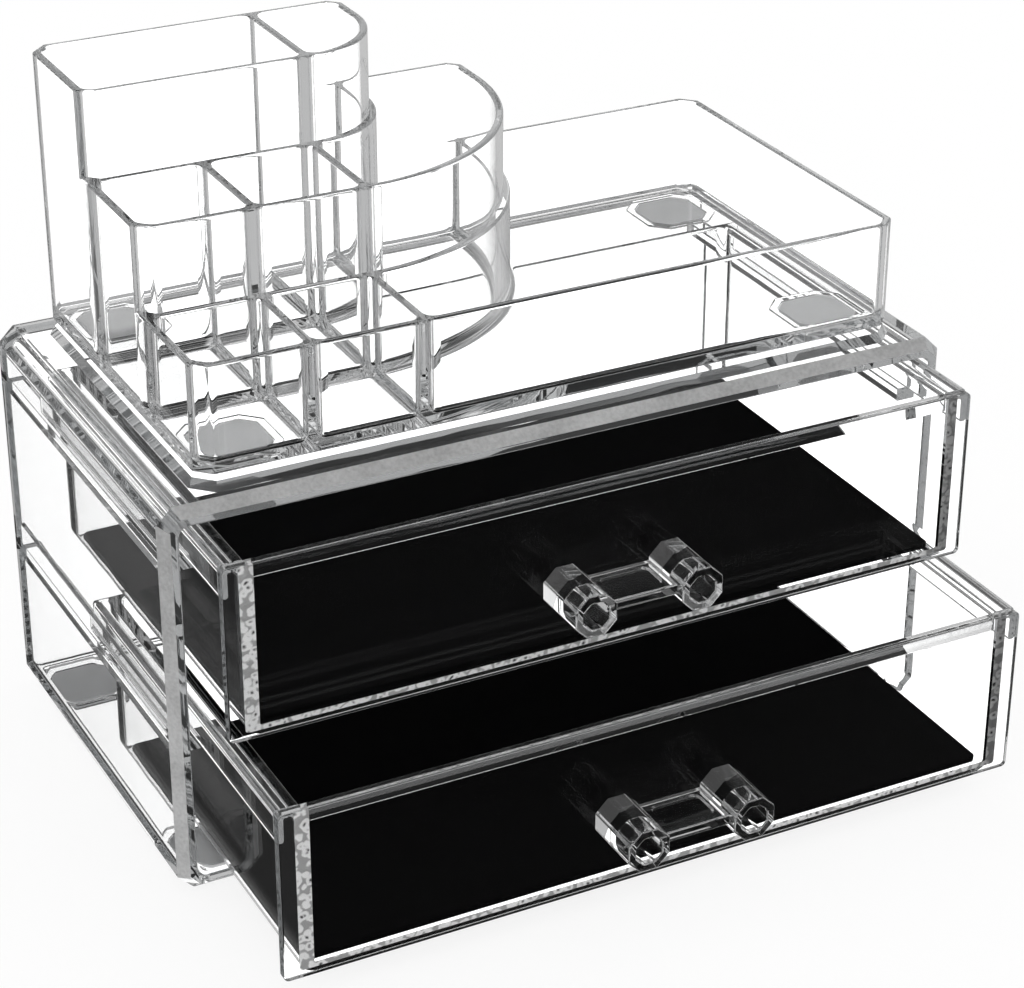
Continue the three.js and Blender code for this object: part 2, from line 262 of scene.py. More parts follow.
# The case is one clear polystyrene moulding: a thick-walled box that is open at the front, with a bevel
# round its mouth, a raised platform on its top, two runners on each side wall and four foot bosses.
# Every piece is made of bodies that run along straight outlines with rounded corners, joined and cut.
hold = 0.00004
hair = 0.00002
shortest_side = 0.0002


def drawn_in(corners, distance):
    """Moves each side of an outline inwards by distance. A new corner is where two moved sides meet."""
    along = np.roll(corners, -1, 0) - corners
    along /= np.linalg.norm(along, axis=1, keepdims=True)
    start = corners + distance * np.stack([-along[:, 1], along[:, 0]], 1)
    before, before_start = np.roll(along, 1, 0), np.roll(start, 1, 0)
    gap = start - before_start
    turn = before[:, 0] * along[:, 1] - before[:, 1] * along[:, 0]
    reach = (gap[:, 0] * along[:, 1] - gap[:, 1] * along[:, 0]) / turn
    return before_start + reach[:, None] * before


def rounded(corners, radii, steps, joined):
    """Sets an arc into each corner of an outline, tangent to both sides.

    An arc's centre lies on the corner's bisector, at radius / sin(half the inner angle). A point just before
    and after it keeps the sides flat. Where arcs are joined, the side between them has no length, so the
    points on it are left out.
    """
    out = np.roll(corners, -1, 0) - corners
    out /= np.linalg.norm(out, axis=1, keepdims=True)
    into = np.roll(out, 1, 0)
    bend = np.sign(into[:, 0] * out[:, 1] - into[:, 1] * out[:, 0])
    half = np.arccos(np.clip((-into * out).sum(1), -1, 1)) / 2
    middle = out - into
    middle /= np.linalg.norm(middle, axis=1, keepdims=True)
    centre = corners + middle * (radii / np.sin(half))[:, None]
    first = np.arctan2(-into[:, 0], into[:, 1]) + np.where(bend > 0, 0, np.pi)
    sweep = bend * (np.pi - 2 * half)
    counts = steps + 3
    corner = np.repeat(np.arange(len(corners)), counts)
    place = np.arange(counts.sum()) - np.repeat(np.cumsum(counts) - counts, counts)
    angle = first[corner] + sweep[corner] * np.clip((place - 1) / steps[corner], 0, 1)
    points = centre[corner] + radii[corner, None] * np.stack([np.cos(angle), np.sin(angle)], 1)
    points -= hold * into[corner] * (place == 0)[:, None]
    points += hold * out[corner] * (place == steps[corner] + 2)[:, None]
    spare = np.roll(joined, 1)[corner] & (place < 2) | joined[corner] & (place == steps[corner] + 2)
    return points[~spare]


def ring_body(corners, radii, profile, run="up", least_steps=6, step_length=0.0013):
    """A closed body: its outline, drawn in by each inset of the profile and set at its level, ring on ring.

    The outline runs counterclockwise, in X and Y where the levels run up, in X and Z where they run back,
    and in Y and Z where they run right. A corner's arc has steps in proportion to its length.
    """
    corners = np.array(corners, float)
    radii = np.broadcast_to(np.array(radii, float), len(corners))
    out = np.roll(corners, -1, 0) - corners
    into = np.roll(out, 1, 0)
    turn = np.arctan2(into[:, 0] * out[:, 1] - into[:, 1] * out[:, 0], (into * out).sum(1))
    steps = np.maximum(least_steps, np.ceil(radii * np.abs(turn) / step_length)).astype(int)
    taken = radii * np.tan(np.abs(turn) / 2)
    joined = np.linalg.norm(out, axis=1) - taken - np.roll(taken, -1) < shortest_side
    rings = []
    for inset, level in profile:
        inset_radii = np.maximum(radii - np.sign(turn) * inset, hair)
        outline = rounded(drawn_in(corners, inset), inset_radii, steps, joined)
        rings.append(np.column_stack([outline, np.full(len(outline), level)]))
    points = np.array(rings)
    order = {"up": [0, 1, 2], "back": [0, 2, 1], "right": [2, 0, 1]}[run]
    points = points[:, :, order]
    count, around = points.shape[:2]
    low = (np.arange(count - 1)[:, None] * around + np.arange(around)).ravel()
    next_low = (np.arange(count - 1)[:, None] * around + (np.arange(around) + 1) % around).ravel()
    sides = np.stack([low, next_low, next_low + around, low + around], 1)
    faces = sides.tolist()
    faces.append(list(range(around))[::-1])
    faces.append(list(range((count - 1) * around, count * around)))
    if run == "back":
        faces = [face[::-1] for face in faces]
    mesh = bpy.data.meshes.new("body")
    mesh.from_pydata(points.reshape(-1, 3).tolist(), [], faces)
    return mesh


def soft_profile(low, high, low_round, high_round, steps=5):
    """Rows of (inset, level) up a wall, with a quarter circle at each end.

    The wall turns inwards where a radius is positive, and flares outwards where it is negative.
    """
    turn = np.linspace(0, np.pi / 2, steps + 1)
    low_size, high_size = abs(low_round), abs(high_round)
    foot = np.stack([low_round * (1 - np.sin(turn)), low + low_size * (1 - np.cos(turn))], 1)
    top = np.stack([high_round * (1 - np.cos(turn)), high - high_size + high_size * np.sin(turn)], 1)
    rows = [(low_round + hold, low)] if low_round > 0 else []
    rows += [*(foot if low_round else [(0, low)]), (0, low + low_size + hold)]
    rows += [(0, high - high_size - hold), *(top if high_round else [(0, high)])]
    rows += [(high_round + hold, high)] if high_round > 0 else []
    return rows


def carve(name, start, steps):
    """Joins each (operation, mesh) to the starting body, or cuts it from there, and returns the piece."""
    piece = placed(name, start)
    others = []
    for operation, mesh in steps:
        other = placed("tool", mesh)
        others.append(other)
        change = piece.modifiers.new("change", "BOOLEAN")
        change.operation = operation
        change.solver = "MANIFOLD"
        change.object = other
    depsgraph = bpy.context.evaluated_depsgraph_get()
    finished = bpy.data.meshes.new_from_object(piece.evaluated_get(depsgraph))
    piece.modifiers.clear()
    piece.data = finished
    finished.name = name
    finished.materials.clear()
    for other in others:
        bpy.data.objects.remove(other)
    return piece


def smooth_arcs(piece):
    """Shades arcs smoothly, keeps sharp edges crisp, and lets large faces set their borders' normals."""
    sharp_angle = math.radians(30)
    flat_face_weight = 100
    piece.data.shade_smooth()
    piece.data.set_sharp_from_angle(angle=sharp_angle)
    weighted = piece.modifiers.new("flat_faces", "WEIGHTED_NORMAL")
    weighted.weight = flat_face_weight
    weighted.keep_sharp = True


plastic_ior = 1.5
reflection_tint = grey(0.1)
smoke_colour = (0.5, 0.52, 0.53, 1)
smoke_density = 6.0


def finish_plastic(tree, face, tint):
    """Sets a plastic's face over a smoky inside. Rays that test for shadow go straight on, times the tint."""
    direct = add_node(tree, "ShaderNodeBsdfTransparent", [("Color", grey(tint))])
    path = add_node(tree, "ShaderNodeLightPath")
    surface = add_node(
        tree, "ShaderNodeMixShader",
        [(0, path.outputs["Is Shadow Ray"]), (1, face.outputs[0]), (2, direct.outputs[0])])
    smoke = add_node(
        tree, "ShaderNodeVolumeAbsorption", [("Color", smoke_colour), ("Density", smoke_density)])
    add_node(
        tree, "ShaderNodeOutputMaterial", [("Surface", surface.outputs[0]), ("Volume", smoke.outputs[0])])


def clear_plastic(name):
    """Clear polystyrene: smooth, with a faint moulding ripple and a thin bloom, grey where light runs far."""
    finish, tree, place = new_finish(name)
    ripple = add_node(
        tree, "ShaderNodeTexNoise", [("Vector", place), ("Scale", 38.0), ("Detail", 1.0), ("Roughness", 0.4)])
    bump = add_node(
        tree, "ShaderNodeBump", [("Strength", 0.12), ("Distance", 0.0004), ("Height", ripple.outputs[0])])
    bloom = add_node(
        tree, "ShaderNodeTexNoise", [("Vector", place), ("Scale", 9.0), ("Detail", 4.0), ("Roughness", 0.6)])
    rough = add_node(tree, "ShaderNodeMapRange", [
        ("Value", bloom.outputs[0]), ("From Min", 0.35), ("From Max", 0.75),
        ("To Min", 0.0), ("To Max", 0.018),
    ])
    tone = add_node(
        tree, "ShaderNodeMix",
        [(0, bloom.outputs[0]), (6, white), (7, (0.994, 0.995, 0.996, 1))], data_type="RGBA")
    plastic = add_node(tree, "ShaderNodeBsdfPrincipled", [
        ("Base Color", tone.outputs[2]), ("Roughness", rough.outputs[0]), ("Normal", bump.outputs[0]),
        ("IOR", plastic_ior), ("Transmission Weight", 1.0), ("Specular Tint", reflection_tint),
    ])
    finish_plastic(tree, plastic, 0.97)
    return finish


def box_outline(x_low, x_high, y_low, y_high, low_cut=0.0, high_cut=0.0):
    """A rectangle whose low and high corners may be cut at 45 degrees."""
    low = [(x_low + low_cut, y_low), (x_high - low_cut, y_low)]
    high = [(x_high - high_cut, y_high), (x_low + high_cut, y_high)]
    if low_cut:
        low = [(x_low, y_low + low_cut), *low, (x_high, y_low + low_cut)]
    if high_cut:
        high = [(x_high, y_high - high_cut), *high, (x_low, y_high - high_cut)]
    return low + high


case_low, case_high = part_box("case_shell")
case_half = case_high.x
case_front, case_back, case_base = case_low.y, case_high.y, case_low.z
platform_height = 0.0026
case_top = case_high.z - platform_height
case_wall = 0.005
case_back_wall = 0.0025
case_floor = 0.0025
case_skirt = 0.0025
top_cut = 0.0047
bottom_cut = 0.0046
bevel_inset, bevel_depth = 0.0024, 0.0034
corner_round = 0.0009
mouth_round = 0.003
bay_round = 0.0022
edge_round = 0.0006
skirt_round = 0.0012
overrun = 0.002
cut_share = 2 - math.sqrt(2)

floor_top = case_base + case_skirt + case_floor
bay_top = case_top - case_wall
bay_half = case_half - case_wall
bay_back = case_back - case_back_wall

back_turn = np.linspace(0, np.pi / 2, 6)
case_profile = [
    (bevel_inset + edge_round, case_front), (bevel_inset + edge_round / 2, case_front),
    (bevel_inset, case_front + edge_round / 2),
    (0, case_front + bevel_depth), (0, case_front + bevel_depth + edge_round),
    *[(edge_round * (1 - math.cos(t)), case_back - edge_round * (1 - math.sin(t))) for t in back_turn],
    (edge_round + hold, case_back),
]
case_outside = ring_body(
    box_outline(-case_half, case_half, case_base, case_top, bottom_cut, top_cut), corner_round,
    case_profile, "back")

bay = ring_body(
    box_outline(-bay_half, bay_half, floor_top, bay_top), mouth_round,
    [(-edge_round, case_front - overrun), (-edge_round, case_front - 0.00001),
     (-edge_round / 3, case_front + edge_round / 3),
     *soft_profile(case_front + edge_round, bay_back, 0, bay_round)], "back", least_steps=8)
skirt_half = case_half - bottom_cut - case_floor
underside = ring_body(
    box_outline(-skirt_half, skirt_half, case_front + 2 * case_floor, bay_back), bay_round,
    [(0, case_base - overrun), *soft_profile(case_base, case_base + case_skirt, 0, skirt_round)[1:]])

tray_low, tray_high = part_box("stepped_tray")
tray_cut = 0.0045
platform_slope = 0.0015
platform_reach = 0.0013
platform_round = 0.0012
platform_edge = 0.0003
platform = ring_body(
    box_outline(
        tray_low.x - platform_reach, tray_high.x + platform_reach,
        tray_low.y - platform_reach, tray_high.y + platform_reach,
        tray_cut + platform_reach, tray_cut + platform_reach), platform_round,
    [(0, case_top - case_wall / 2), (0, case_top),
     (platform_slope * 0.8, case_high.z - platform_height * 0.2),
     (platform_slope, case_high.z), (platform_slope + platform_edge, case_high.z)])

# The pads under the case and under the tray sit in pockets of eight-sided bosses.
pad_cut = 0.0036
pad_pocket = 0.0006
pad_clearance = 0.0003
foot_margin = 0.0026
foot_round = 0.0008
foot_names = ["front_left", "front_right", "back_left", "back_right"]


def foot_outline(node, grow):
    """The eight-sided outline of the pad in this node, grown on every side."""
    low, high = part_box(node)
    cut = pad_cut + grow * cut_share
    return box_outline(low.x - grow, high.x + grow, low.y - grow, high.y + grow, cut, cut)


def foot_steps(node, base, floor_depth, edge):
    """A bevelled boss round the pad in this node, which reaches into the floor, and a pocket for the pad."""
    boss = ring_body(
        foot_outline(node, foot_margin), foot_round,
        [(edge, base), (0, base + edge), (0, base + floor_depth)])
    pocket = ring_body(
        foot_outline(node, pad_clearance), foot_round, [(0, base - overrun), (0, base + pad_pocket)])
    return [("UNION", boss), ("DIFFERENCE", pocket)]


case_foot_edge = 0.0004
case_steps = [("DIFFERENCE", bay), ("DIFFERENCE", underside), ("UNION", platform)]
for foot in foot_names:
    case_steps += foot_steps("case_pad_" + foot, case_base, case_skirt + case_foot_edge, case_foot_edge)

# A runner stands under each drawer's hooked flange: a foot below the hook, and a guide beside it.
hook_depth = 0.0095
runner_gap = 0.0003
runner_side_gap = 0.0005
runner_body_gap = 0.001
runner_foot = 0.004
runner_guide = 0.0076
runner_start = 0.0045
runner_bite = 0.0005
runner_round = 0.0005
body_inset = 0.005
drawers = ("lower", "upper")
for drawer in drawers:
    plate_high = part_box(drawer + "_drawer_front")[1]
    foot_face = plate_high.x - body_inset + runner_body_gap
    guide_face = plate_high.x + runner_side_gap
    foot_level = plate_high.z - hook_depth - runner_gap
    wall = bay_half + case_wall / 2
    right = [
        (foot_face, foot_level - runner_foot), (wall, foot_level - runner_foot),
        (wall, foot_level + runner_guide), (guide_face, foot_level + runner_guide),
        (guide_face, foot_level), (foot_face, foot_level),
    ]
    left = [(-x, z) for x, z in right][::-1]
    for outline in (right, left):
        case_steps.append(("UNION", ring_body(
            outline, runner_round, [(0, case_front + runner_start), (0, bay_back + runner_bite)], "back")))

case = carve("case_moulding", case_outside, case_steps)
smooth_arcs(case)
clear = clear_plastic("clear_polystyrene")
case.data.materials.append(clear)


def satin_plastic(name):
    """The same plastic with a finely ground face: pale grey, it lets light through but no clear view."""
    finish, tree, place = new_finish(name)
    grain = add_node(tree, "ShaderNodeTexNoise", [("Vector", place), ("Scale", 900.0), ("Detail", 3.0)])
    patch = add_node(tree, "ShaderNodeTexNoise", [("Vector", place), ("Scale", 60.0), ("Detail", 3.0)])
    mixed = add_node(
        tree, "ShaderNodeMix", [(0, 0.5), (2, grain.outputs[0]), (3, patch.outputs[0])], data_type="FLOAT")
    tone = add_node(tree, "ShaderNodeMapRange", [
        ("Value", mixed.outputs[0]), ("From Min", 0.35), ("From Max", 0.65),
        ("To Min", 0.42), ("To Max", 0.66),
    ])
    bump = add_node(
        tree, "ShaderNodeBump", [("Strength", 0.4), ("Distance", 0.0002), ("Height", grain.outputs[0])])
    ground = add_node(tree, "ShaderNodeBsdfPrincipled", [
        ("Base Color", tone.outputs[0]), ("Roughness", 0.42), ("Normal", bump.outputs[0]),
        ("IOR", plastic_ior), ("Transmission Weight", 0.4), ("Specular Tint", reflection_tint),
    ])
    finish_plastic(tree, ground, 0.8)
    return finish


def bevel_faces(mesh):
    """The faces of the bevel round the case's mouth: on its rim, and turned partly towards the front."""
    steepest, flattest = -0.25, -0.85
    count = len(mesh.polygons)
    turned, middle = np.empty(count * 3, np.float32), np.empty(count * 3, np.float32)
    mesh.polygons.foreach_get("normal", turned)
    mesh.polygons.foreach_get("center", middle)
    towards_front = turned.reshape(-1, 3)[:, 1]
    x, y, z = middle.reshape(-1, 3).T
    rim = bevel_inset + edge_round
    outer = (np.abs(x) > case_half - rim) | (z > case_top - rim) | (z < case_base + rim)
    return outer & (y < case_front + bevel_depth) & (towards_front > flattest) & (towards_front < steepest)


case.data.materials.append(satin_plastic("satin_bevel"))
case.data.polygons.foreach_set("material_index", bevel_faces(case.data).astype(np.int32))
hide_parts("case_shell")
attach(case, "case")


# Four pads of grey soft plastic are pressed into the bosses under the case, and stand 1 mm below them.
def soft_pad(node, finish):
    """An eight-sided pad in the place of its node, with rounded edges."""
    low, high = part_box(node)
    seat_gap = 0.00005
    pad_round, foot_edge, top_edge = 0.001, 0.0004, 0.0003
    mesh = ring_body(
        foot_outline(node, 0), pad_round,
        soft_profile(low.z, high.z - seat_gap, foot_edge, top_edge, steps=4), least_steps=4)
    mesh.name = node
    pad = placed(node + "_soft", mesh)
    smooth_arcs(pad)
    mesh.materials.append(finish)
    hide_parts(node)
    return pad


def grey_rubber(name):
    """Mid grey soft plastic, matt, with a fine grain and slight cloudiness, that lets some light through."""
    finish, tree, place = new_finish(name)
    light_reach = 0.002
    cloud = add_node(tree, "ShaderNodeTexNoise", [("Vector", place), ("Scale", 160.0), ("Detail", 3.0)])
    grain = add_node(tree, "ShaderNodeTexNoise", [("Vector", place), ("Scale", 2600.0), ("Detail", 2.0)])
    tone = add_node(
        tree, "ShaderNodeMix",
        [(0, cloud.outputs[0]), (6, (0.5, 0.505, 0.51, 1)), (7, (0.6, 0.605, 0.61, 1))], data_type="RGBA")
    bump = add_node(
        tree, "ShaderNodeBump", [("Strength", 0.5), ("Distance", 0.0001), ("Height", grain.outputs[0])])
    rubber = add_node(tree, "ShaderNodeBsdfPrincipled", [
        ("Base Color", tone.outputs[2]), ("Roughness", 0.62), ("Normal", bump.outputs[0]),
        ("Specular IOR Level", 0.35), ("Subsurface Weight", 1.0), ("Subsurface Radius", (1.0, 1.0, 1.0)),
        ("Subsurface Scale", light_reach),
    ])
    add_node(tree, "ShaderNodeOutputMaterial", [("Surface", rubber.outputs[0])])
    return finish


pad_finish = grey_rubber("grey_soft_plastic")
for foot in foot_names:
    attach(soft_pad("case_pad_" + foot, pad_finish), "case")


# Each drawer's body is a clear moulded trough: floor, back and two side walls, which turn outwards at the
# top into a flange with a hook that hangs over the runner. Its front end is bonded to the plate by a bead of
# glue, which has spread inwards at the left and outwards at the right.
plate_thickness = 0.003
drawer_wall = 0.0022
drawer_floor = 0.0022
hook_thickness = 0.0022
flange_thickness = 0.0022
flange_round = 0.0009
under_flange_round = 0.0006
hook_round = 0.0007
back_round = 0.0009
bond_gap = 0.00012
bond_spread = 0.002
right_bond_inside, right_bond_outside = 0.0013, 0.0016
trough_round = 0.0045
inner_round = 0.0032
floor_fillet = 0.0014
rim_round = 0.0008


def drawer_trough(drawer):
    """The drawer's body: one long section with flanges, rounded off at its back, and a pocket cut into it."""
    low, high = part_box(drawer + "_drawer_body")
    flange_half = high.x
    half = flange_half - body_inset
    hook_half = flange_half - hook_thickness
    under = high.z - flange_thickness
    hook_end = high.z - hook_depth
    right = [
        (half, low.z), (half, under), (hook_half, under), (hook_half, hook_end), (flange_half, hook_end),
        (flange_half, high.z),
    ]
    section = right + [(-x, z) for x, z in right][::-1]
    right_radii = [
        trough_round, flange_round, under_flange_round, hook_round, flange_round, flange_round,
    ]
    trough = ring_body(
        section, right_radii + right_radii[::-1],
        soft_profile(low.y + bond_gap, high.y, 0, back_round), "back")
    inner = half - drawer_wall
    pocket = ring_body(
        box_outline(-inner, inner, low.y - 3 * overrun, high.y - drawer_wall), inner_round,
        soft_profile(low.z + drawer_floor, high.z + hair, floor_fillet, -rim_round), least_steps=8)
    return carve(drawer + "_trough", trough, [("DIFFERENCE", pocket)])


bubble_levels = [(0.1, 0.08), (0.2, 0.6), (0.3, 1.0), (0.5, 1.0), (0.62, 0.45)]
# Painted shade on the bead's right end: full colour up to the first x, and only the share from the second x
# on.
painted_shade_start, painted_shade_full, painted_shade_share = 0.1, 0.108, 0.3


def bubbly_bond(name):
    """A bead of clear glue full of small bubbles: white and wavy, with painted shade at the drawer's right.
    """
    finish, tree, place = new_finish(name)
    swirl_reach = 0.0025
    swirl = add_node(
        tree, "ShaderNodeTexNoise", [("Vector", place), ("Scale", 300.0), ("Detail", 2.0)])
    strength = add_node(
        tree, "ShaderNodeVectorMath",
        [(0, swirl.outputs["Color"]), ("Scale", swirl_reach)], operation="SCALE")
    warped = add_node(tree, "ShaderNodeVectorMath", [(0, place), (1, strength.outputs[0])], operation="ADD")
    bubbles = add_node(
        tree, "ShaderNodeTexVoronoi", [("Vector", warped.outputs[0]), ("Scale", 400.0), ("Smoothness", 0.3)],
        feature="SMOOTH_F1")
    tone = ramp(tree, bubbles.outputs["Distance"], bubble_levels)
    across = add_node(tree, "ShaderNodeSeparateXYZ", [(0, place)])
    # Painted shade: the colour drops to a share of itself at the bead's right end, where the drawer's right
    # wall looks dark.
    right_painted_shade = add_node(tree, "ShaderNodeMapRange", [
        ("Value", across.outputs["X"]), ("From Min", painted_shade_start), ("From Max", painted_shade_full),
        ("To Min", 1.0), ("To Max", painted_shade_share),
    ])
    tone = add_node(tree, "ShaderNodeVectorMath", [(0, tone), ("Scale", right_painted_shade.outputs[0])], operation="SCALE")
    bump = add_node(tree, "ShaderNodeBump", [
        ("Strength", 0.9), ("Distance", 0.0008), ("Height", bubbles.outputs["Distance"]),
    ])
    glue = add_node(tree, "ShaderNodeBsdfPrincipled", [
        ("Base Color", tone.outputs[0]), ("Roughness", 0.2), ("Normal", bump.outputs[0]), ("IOR", 1.45),
        ("Transmission Weight", 0.15),
    ])
    add_node(tree, "ShaderNodeOutputMaterial", [("Surface", glue.outputs[0])])
    return finish


bond = bubbly_bond("bubbly_bond")
bond_inset, bond_top_gap = 0.0001, 0.0002
bond_foot = 0.0004
bond_round, bond_inner_round = 0.001, 0.0005
for drawer in drawers:
    trough = drawer_trough(drawer)
    smooth_arcs(trough)
    trough.data.materials.append(clear)
    low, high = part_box(drawer + "_drawer_body")
    half = high.x - body_inset
    left_inner, right_inner = half - drawer_wall - bond_spread, half - right_bond_inside
    bead = ring_body(
        box_outline(
            bond_inset - half, half + right_bond_outside, low.z + drawer_floor / 2, high.z - bond_top_gap),
        bond_round, [(0, low.y + hair), (0, low.y + bond_gap - hair)], "back")
    bead_pocket = ring_body(
        box_outline(-left_inner, right_inner, low.z + drawer_floor + bond_foot, high.z + overrun),
        bond_inner_round, [(0, low.y - overrun), (0, low.y + overrun)], "back")
    bead = carve(drawer + "_bond", bead, [("DIFFERENCE", bead_pocket)])
    bead.data.materials.append(bond)
    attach(bead, drawer + "_drawer")
    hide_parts(drawer + "_drawer_body")
    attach(trough, drawer + "_drawer")


# The front of a drawer is a flat clear plate with rounded edges. A wedge, thickest at its foot, runs
# along the back of its top edge and stiffens it.
plate_round = 0.0016
plate_edge = 0.0004
lip_height = 0.0055
lip_depth = 0.00155
lip_gap = 0.0003
lip_undercut = 0.001
lip_bite = 0.0012
lip_top_gap, lip_top_depth = 0.0003, 0.00005
lip_round = 0.0001
lip_end_inset, lip_end_length = 0.0002, 0.0003
for drawer in drawers:
    low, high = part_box(drawer + "_drawer_front")
    back = low.y + plate_thickness
    plate = ring_body(
        box_outline(low.x, high.x, low.z, high.z), plate_round,
        soft_profile(low.y, back, plate_edge, plate_edge), "back")
    bar_side = [
        (back - lip_bite, high.z - lip_height + lip_undercut), (back + lip_depth, high.z - lip_height),
        (back + lip_top_depth, high.z - lip_top_gap), (back - lip_bite, high.z - lip_top_gap),
    ]
    bar_half = high.x - body_inset - drawer_wall - lip_gap
    bar_even = bar_half - lip_end_length
    bar = ring_body(
        bar_side, lip_round,
        [(lip_end_inset, -bar_half), (0, -bar_even), (0, bar_even), (lip_end_inset, bar_half)],
        "right", least_steps=4)
    front = carve(drawer + "_plate", plate, [("UNION", bar)])
    smooth_arcs(front)
    front.data.materials.append(clear)
    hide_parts(drawer + "_drawer_front")
    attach(front, drawer + "_drawer")


# A handle is one clear moulding, bonded to the plate: two bored eight-sided bosses, and between them
# a web with a shallow dish for the finger.
boss_across = 0.0124
boss_wall = 0.0023
boss_back = 0.0092
web_thickness = 0.0032
web_setback = 0.003
web_edge, web_round, web_bite = 0.0005, 0.0003, 0.0006
web_dish = 0.0006
dish_margin, dish_round = 0.0024, 0.0028
boss_edge, boss_round, bore_round = 0.0005, 0.0007, 0.0012
boss_cut = boss_across / (2 + math.sqrt(2))
bonded_gap = 0.00006
for drawer in drawers:
    low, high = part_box(drawer + "_drawer_handle")
    level = (low.z + high.z) / 2
    bonded = high.y - bonded_gap
    bore_end = high.y - boss_back
    web_top = level + web_thickness / 2
    half = boss_across / 2
    spacing = high.x - low.x - boss_across
    web_half = spacing / 2 - half
    bore_half = half - boss_wall
    bore_cut = boss_cut * bore_half / half
    web = ring_body(
        box_outline(-web_half - web_bite, web_half + web_bite, low.y + web_setback, bonded), web_round,
        soft_profile(level - web_thickness / 2, web_top, web_edge, web_edge))
    steps = []
    for side in (-1, 1):
        middle = side * spacing / 2
        steps.append(("UNION", ring_body(
            box_outline(middle - half, middle + half, level - half, level + half, boss_cut, boss_cut),
            boss_round, soft_profile(low.y, bonded, boss_edge, 0), "back")))
        steps.append(("DIFFERENCE", ring_body(
            box_outline(
                middle - bore_half, middle + bore_half, level - bore_half, level + bore_half,
                bore_cut, bore_cut),
            bore_round,
            [(-0.0004, low.y - hair), (-0.0002, low.y + 0.0001), (0, low.y + 0.0004),
             (0, bore_end - 0.001), (0.0003, bore_end - 0.0003), (0.001, bore_end)],
            "back")))
    steps.append(("DIFFERENCE", ring_body(
        box_outline(
            -web_half + dish_margin, web_half - dish_margin,
            low.y + web_setback + dish_margin, high.y - dish_margin), dish_round,
        [(0.0006, web_top - web_dish), (0.0001, web_top - web_dish * 0.7), (-0.0002, web_top + hair)],
        least_steps=8)))
    grip = carve(drawer + "_grip", web, steps)
    smooth_arcs(grip)
    grip.data.materials.append(clear)
    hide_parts(drawer + "_drawer_handle")
    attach(grip, drawer + "_drawer")


# A thin black foam sheet with a fine napped face lies loose on each drawer's floor, its corners cut.
def black_foam(name):
    """Black foam: hardly any sheen, with a fine nap that mottles it slightly."""
    finish, tree, place = new_finish(name)
    darkest, lightest = (0.0008, 0.0008, 0.0009, 1), (0.0022, 0.0022, 0.0023, 1)
    nap = add_node(tree, "ShaderNodeTexNoise", [("Vector", place), ("Scale", 2200.0), ("Detail", 3.0)])
    patch = add_node(tree, "ShaderNodeTexNoise", [("Vector", place), ("Scale", 90.0), ("Detail", 3.0)])
    tone = add_node(
        tree, "ShaderNodeMix", [(0, patch.outputs[0]), (6, darkest), (7, lightest)], data_type="RGBA")
    bump = add_node(
        tree, "ShaderNodeBump", [("Strength", 0.4), ("Distance", 0.00015), ("Height", nap.outputs[0])])
    foam = add_node(tree, "ShaderNodeBsdfPrincipled", [
        ("Base Color", tone.outputs[2]), ("Roughness", 0.8), ("Normal", bump.outputs[0]),
        ("Specular IOR Level", 0.02),
    ])
    add_node(tree, "ShaderNodeOutputMaterial", [("Surface", foam.outputs[0])])
    return finish


mat_corner = 0.0012
mat_reach = 0.0012
mat_side_reach = 0.0016
mat_edge = 0.0004
mat_round = 0.0008
foam = black_foam("black_foam")
for drawer in drawers:
    low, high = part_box(drawer + "_drawer_mat")
    mesh = ring_body(
        box_outline(
            low.x - mat_side_reach, high.x + mat_side_reach, low.y - mat_reach, high.y,
            mat_corner, mat_corner),
        mat_round, soft_profile(low.z, high.z, mat_edge, mat_edge, steps=4), least_steps=4)
    mesh.name = drawer + "_sheet"
    sheet = placed(drawer + "_sheet", mesh)
    smooth_arcs(sheet)
    mesh.materials.append(foam)
    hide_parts(drawer + "_drawer_mat")
    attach(sheet, drawer + "_drawer")


# The tray is one clear moulding. At its left are three tiers, each higher than the one before it:
# two low pots, two middle pots and a tall room. Two rooms with round walls and an open part follow.
tray_wall = 0.0022
tray_floor = 0.0023
foot_height = 0.0008
low_height, middle_step, tall_step = 0.0312, 0.0244, 0.0247
middle_row, tall_row = 0.0806, 0.0425
column_width = 0.0302
round_radius = 0.0275
round_back_cut = 0.0035
ledge = 0.002
room_round = 0.003
room_fillet = 0.0024
tray_round = 0.001
tray_base_edge = 0.0006
tray_foot_edge = 0.0003
tray_left, tray_right = tray_low.x, tray_high.x
tray_front, tray_back = tray_low.y, tray_high.y
tray_base = tray_low.z + foot_height
low_top = tray_base + low_height
middle_top = low_top + middle_step
tall_top = middle_top + tall_step
first_divider = tray_left + tray_wall + column_width
second_divider = first_divider + tray_wall + column_width
round_x = second_divider + tray_wall / 2
round_y = tray_back - tall_row + round_radius
inner_cut = tray_cut - tray_wall * cut_share


def round_end(radius, first):
    """Corners round the tiers' common middle, each rounded by the same radius, so that they join to one arc.

    Neighbouring sides touch the circle at even angles from the first to 0. Their corner lies between
    them at radius / cos(half the angle between them).
    """
    corners = 6
    touch = np.linspace(first, 0, corners + 1)
    middle = (touch[1:] + touch[:-1]) / 2
    reach = radius / np.cos((touch[1] - touch[0]) / 2)
    x, y = round_x + reach * np.cos(middle), round_y + reach * np.sin(middle)
    return np.stack([x, y, np.full(corners, radius)], 1).tolist()


def round_end_from(x, radius):
    """The same after the corner where the side at x meets the circle, which starts clear of its rounding.

    The first angle lies where the circle is that much past x. The corner's y is where the circle's tangent
    there crosses x: (radius - x from the middle * cos(first)) / sin(first).
    """
    clear_length = 0.0041
    first = -math.acos((x + clear_length - round_x) / radius)
    y = round_y + (radius - (x - round_x) * math.cos(first)) / math.sin(first)
    return [(x, y, room_round), *round_end(radius, first)]


def plain(points, radius):
    """Gives every point of an outline the same corner radius."""
    return [(x, y, radius) for x, y in points]


